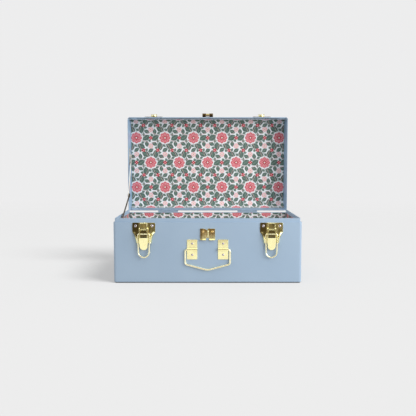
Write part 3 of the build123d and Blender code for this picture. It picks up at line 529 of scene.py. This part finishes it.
def lid_board(x, y, z):
    """Along the lid's boards, which bend round towards the rim at both long edges."""
    flat = z.clamp(LID_ARC_LOW_Z, LID_ARC_HIGH_Z)
    return x, flat + angle(z - flat, y - LID_ARC_Y) * LID_BOARD_RADIUS


def long_board(x, y, z):
    """Along the body's front and rear boards."""
    return x, z - TOP_ROW_Z


def end_board(x, y, z):
    return y, z


def floor_board(x, y, z):
    return x, y


# Finishes of the CAD model's pieces

paint = blue_paint("blue_paint_satin")
# The neck's inner faces get the paler paint of painted light
body_paint = blue_paint("blue_paint_body", patches=[(neck_inside, BLUE_INSIDE_PAINTED_LIGHT)])
# The lid gets painted light on its inner faces, paler still under its front wall, and painted shade on its
# rim
lid_paint = blue_paint("blue_paint_lid", patches=[
    (lid_inside, BLUE_INSIDE_PAINTED_LIGHT), (lid_upper_wall, BLUE_UPPER_WALL_PAINTED_LIGHT), (lid_rim, BLUE_RIM_PAINTED_SHADE),
])
# Painted shade: darker copies of the paint on the hinges in the gap at the rear, and on the floor pan for the
# dark line under the body
hinge_paint_shaded = blue_paint("blue_paint_hinge_shaded", painted_shade=0.78)
pan_paint_shaded = blue_paint("blue_paint_pan_shaded", painted_shade=0.32)
satin_brass = brass("brass_satin", rough=0.09, scratch=0.8)
pin_brass = brass("brass_pin", rough=0.16, scratch=0.6)
wire_brass = brass("brass_wire", rough=0.13, scratch=0.6, colour=(1.0, 0.95, 0.68), dark=BRASS)
plate_brass = brass("brass_plate", rough=0.06, scratch=0.6, edge=0.0008, tarnish_painted_shade_and_reflection=latch_streaks_painted_shade_and_reflection)
staple_brass = brass("brass_staple", rough=0.06, scratch=0.6, edge=0.0004,
                     tarnish_painted_shade_and_reflection=staple_streaks_and_painted_reflection, dull=fin_outside)
staple_rivet_brass = brass("brass_staple_rivets", rough=0.30, scratch=0.6,
                           colour=(0.66, 0.46, 0.20), dark=(0.50, 0.34, 0.14))
strike_brass = brass("brass_strike", rough=0.30, scratch=0.6, edge=0.0001, tarnish_painted_shade_and_reflection=strike_painted_reflection)
stay_brass = brass("brass_stay", rough=0.34, scratch=0.8,
                   colour=(0.78, 0.76, 0.70), dark=(0.62, 0.58, 0.50))
dark_brass = brass("brass_hasp", rough=0.16, scratch=0.8,
                   colour=(0.13, 0.085, 0.035), dark=(0.07, 0.04, 0.02))
flap_brass = brass("brass_flap", rough=0.14, scratch=0.8,
                   colour=(0.62, 0.52, 0.26), dark=(0.34, 0.25, 0.11))
rivet_steel = small_metal("rivet_steel", (0.46, 0.43, 0.47), rough=0.12)
pin_steel = small_metal("pin_steel", (0.88, 0.84, 0.72), rough=0.18)
bronze = small_metal("bronze_stay", (0.13, 0.10, 0.065), rough=0.34)
black_steel = small_metal("black_steel", (0.035, 0.03, 0.026), rough=0.30)

finish = {
    "base_shell": body_paint, "base_floor_pan": pan_paint_shaded, "lid_shell": lid_paint,
    "hinge_base_rivets": paint, "hinge_lid_rivets": paint,
    "latch_rivets": rivet_steel, "strike_rivets": dark_brass,
    "hasp_plate": dark_brass, "hasp_flap": flap_brass, "hasp_pin": pin_brass, "hasp_rivets": rivet_steel,
    "staple": staple_brass, "staple_rivets": staple_rivet_brass,
    "handle_rivets": rivet_steel, "handle_bail": wire_brass,
    "stay_upper_link": stay_brass, "stay_lower_link": bronze,
    "stay_elbow_rivet": black_steel, "stay_foot_rivet": bronze, "stay_lid_pin": bronze,
    "stay_lid_bracket": stay_brass, "stay_base_bracket": stay_brass,
    "stay_lid_rivets": rivet_steel, "stay_base_rivets": rivet_steel,
}
finish_of_pair = {
    "lid_end": lid_paint,
    "hinge_base_leaf": hinge_paint_shaded, "hinge_lid_leaf": hinge_paint_shaded, "hinge_pin": pin_steel,
    "latch_plate": plate_brass, "latch_lever": satin_brass, "latch_loop": wire_brass, "latch_pin": pin_brass,
    "strike": strike_brass, "handle_clip": satin_brass,
}
for name, material in finish_of_pair.items():
    finish[f"{name}_left"] = finish[f"{name}_right"] = material

# Boards that share a print, which is named after the first, and how bright its ground is. The body's boards
# have a brighter ground as painted light in their shade.
for names, board, ground_painted_light in (
    (("lid_lining", "lid_lining_front", "lid_lining_rear"), lid_board, 1.0),
    (("lining_front", "lining_rear"), long_board, 1.1),
    (("lining_left", "lining_right"), end_board, 1.1),
    (("lining_floor",), floor_board, 1.1),
):
    finish.update(dict.fromkeys(names, printed_paper(f"print_{names[0]}", board, ground_painted_light)))

for name, obj in nodes.items():
    obj.data.materials.clear()
    obj.data.materials.append(finish[name])


# Camera, at the photograph's viewing angle

CAMERA_PLACE, CAMERA_PITCH = (0.00074, -1.2559, 0.2487), 4.79
CAMERA_LENS, CAMERA_SENSOR = 49.557, 36.0
camera_data = bpy.data.cameras.new("camera")
camera_data.lens = CAMERA_LENS
camera_data.sensor_width = CAMERA_SENSOR
camera = bpy.data.objects.new("camera", camera_data)
camera.location = CAMERA_PLACE
camera.rotation_euler = (math.radians(90 - CAMERA_PITCH), 0, 0)
scene.collection.objects.link(camera)
scene.camera = camera
scene.view_settings.view_transform = "Standard"


# Light and surroundings

BACKDROP = (0.847, 0.847, 0.850)
WORLD_LIGHT = 0.77
FLOOR_HALF = 3.0
FLOOR_ALBEDO = 0.22
FLOOR_GLOW = 0.360
FLOOR_FADE_START, FLOOR_FADE_END = 1.2, 2.6
# Cards: half of the width, and the y and z that each runs from and to
DARK_CARD = (0.55, (-0.79, 0.0), (-0.91, 0.85))
WHITE_CARD = (0.8, (-0.78, 0.0005), (-0.125, 0.0005))
BRIGHT_CARD = (0.6, (-0.55, 1.25), (-0.05, 1.25))
WHITE_GLOW, BRIGHT_GLOW = (1.02, 1.0, 0.98), (1.9, 1.9, 1.85)
# The dark card's cloth: a dark and a light tone at its sides and in its middle, and one tone at its top
CLOTH_SIDES = ((0.12, 0.098, 0.060), (0.30, 0.245, 0.150))
CLOTH_MIDDLE = ((0.14, 0.075, 0.030), (0.32, 0.175, 0.075))
CLOTH_TOP = (0.26, 0.19, 0.12)
CLOTH_MIDDLE_HALF = 0.11
CLOTH_TOP_START, CLOTH_TOP_END = 0.05, 0.9


def shown_ray(tree):
    """1 for the rays that show the surroundings: the camera's, and those off metal or through glass."""
    path = tree.nodes.new("ShaderNodeLightPath")
    seen = Value(tree, path.outputs["Is Camera Ray"])
    for kind in ("Is Glossy Ray", "Is Transmission Ray"):
        seen = seen.at_least(Value(tree, path.outputs[kind]))
    return seen


def studio():
    """A world with even white light, and with the backdrop's colour for the rays that show it."""
    world = bpy.data.worlds.new("studio")
    world.use_nodes = True
    tree = world.node_tree
    tree.nodes.clear()
    out = tree.nodes.new("ShaderNodeOutputWorld")
    light = tree.nodes.new("ShaderNodeBackground")
    light.inputs["Color"].default_value = (1.0, 1.0, 1.0, 1.0)
    light.inputs["Strength"].default_value = WORLD_LIGHT
    shown = tree.nodes.new("ShaderNodeBackground")
    shown.inputs["Color"].default_value = (*BACKDROP, 1.0)
    both = tree.nodes.new("ShaderNodeMixShader")
    tree.links.new(shown_ray(tree).socket, both.inputs[0])
    tree.links.new(light.outputs[0], both.inputs[1])
    tree.links.new(shown.outputs[0], both.inputs[2])
    tree.links.new(both.outputs[0], out.inputs["Surface"])
    return world


def lamp(name, kind, place, aim, energy, size):
    """A lamp with its size in metres, or a sun with its size as an angle."""
    data = bpy.data.lights.new(name, kind)
    data.energy = energy
    if kind == "SUN":
        data.angle = size
    else:
        data.shape = "RECTANGLE"
        data.size, data.size_y = size
    obj = bpy.data.objects.new(name, data)
    obj.location = place
    direction = (obj.location - Vector(aim)).normalized()
    obj.rotation_euler = direction.to_track_quat("Z", "Y").to_euler()
    scene.collection.objects.link(obj)
    return obj


def light_link(light, obj, state):
    """The lamp lights this object alone with the state INCLUDE, and everything else with EXCLUDE."""
    linked = bpy.data.collections.new(f"{light.name}_{state.lower()}")
    linked.objects.link(obj)
    linked.collection_objects[0].light_linking.link_state = state
    light.light_linking.receiver_collection = linked


def plane(name, half, start, end, material):
    """A plane of the stage, 2 * half wide, that runs from one y and z to another."""
    corners = [(-half, *start), (half, *start), (half, *end), (-half, *end)]
    mesh = bpy.data.meshes.new(name)
    mesh.from_pydata(corners, [], [(0, 1, 2, 3)])
    mesh.materials.append(material)
    obj = bpy.data.objects.new(name, mesh)
    scene.collection.objects.link(obj)
    return obj


def floor_material():
    """Pale studio floor: it glows a little, keeps the soft shadow, and fades into the background far out."""
    s = Shader("floor")
    x, y, _ = s.coordinates()
    out = next(n for n in s.tree.nodes if n.type == "OUTPUT_MATERIAL")
    s.set(Base_Color=(FLOOR_ALBEDO,) * 3, Roughness=0.9, Specular_IOR_Level=0.0,
          Emission_Color=(1.0, 1.0, 1.0), Emission_Strength=shown_ray(s.tree) * FLOOR_GLOW)
    clear = s.tree.nodes.new("ShaderNodeBsdfTransparent")
    fade = s.tree.nodes.new("ShaderNodeMixShader")
    s.link(s.ranged(distance(x, y), FLOOR_FADE_START, FLOOR_FADE_END), fade.inputs[0])
    s.link(s.bsdf.outputs[0], fade.inputs[1])
    s.link(clear.outputs[0], fade.inputs[2])
    s.link(fade.outputs[0], out.inputs["Surface"])
    return s.material


def cloth_glow(s):
    """The look of a dim room in polished brass: warm dark cloth with a slow change of tone."""
    x, _, z = s.coordinates()
    tone = s.ranged(s.noise(7, 2, stretch=(1.6, 1.0, 1.0)), 0.38, 0.62)
    middle = x.abs().below(CLOTH_MIDDLE_HALF, soft=0.08)
    dark, light = (s.mix(middle, *tones) for tones in zip(CLOTH_SIDES, CLOTH_MIDDLE))
    return s.mix(s.ranged(z, CLOTH_TOP_START, CLOTH_TOP_END), s.mix(tone, dark, light), CLOTH_TOP)


def card(name, size, glow):
    """A plane that only polished metal shows. Its glow is a colour, or a function that makes one."""
    s = Shader(name)
    s.set(Base_Color=(0.0, 0.0, 0.0), Roughness=0.9, Specular_IOR_Level=0.0,
          Emission_Color=glow(s) if callable(glow) else glow, Emission_Strength=1.0)
    obj = plane(name, *size, s.material)
    obj.visible_camera = False
    obj.visible_diffuse = False
    obj.visible_shadow = False
    obj.visible_transmission = False


scene.world = studio()
side_lamp = lamp("side", "AREA", place=(1.05, -0.75, 0.5), aim=(0.05, 0, 0.1), energy=12.8, size=(0.9, 0.9))
lamp("top", "AREA", place=(0.0, -0.45, 1.25), aim=(0, 0.05, 0.15), energy=2.0, size=(1.0, 0.6))
floor = plane("floor", FLOOR_HALF, (-FLOOR_HALF, 0), (FLOOR_HALF, 0), floor_material())

# The floor has a sun of its own in place of the side lamp, for the soft shadow to the left and rear
floor_sun = lamp("shadow", "SUN", place=(0.533, -0.308, 0.788), aim=(0, 0, 0), energy=5.4,
                 size=math.radians(30))
light_link(floor_sun, floor, "INCLUDE")
light_link(side_lamp, floor, "EXCLUDE")

# A dark card stands in front, a white one lies before the trunk, and a bright one is overhead
card("dark_card", DARK_CARD, cloth_glow)
card("white_card", WHITE_CARD, WHITE_GLOW)
card("bright_card", BRIGHT_CARD, BRIGHT_GLOW)
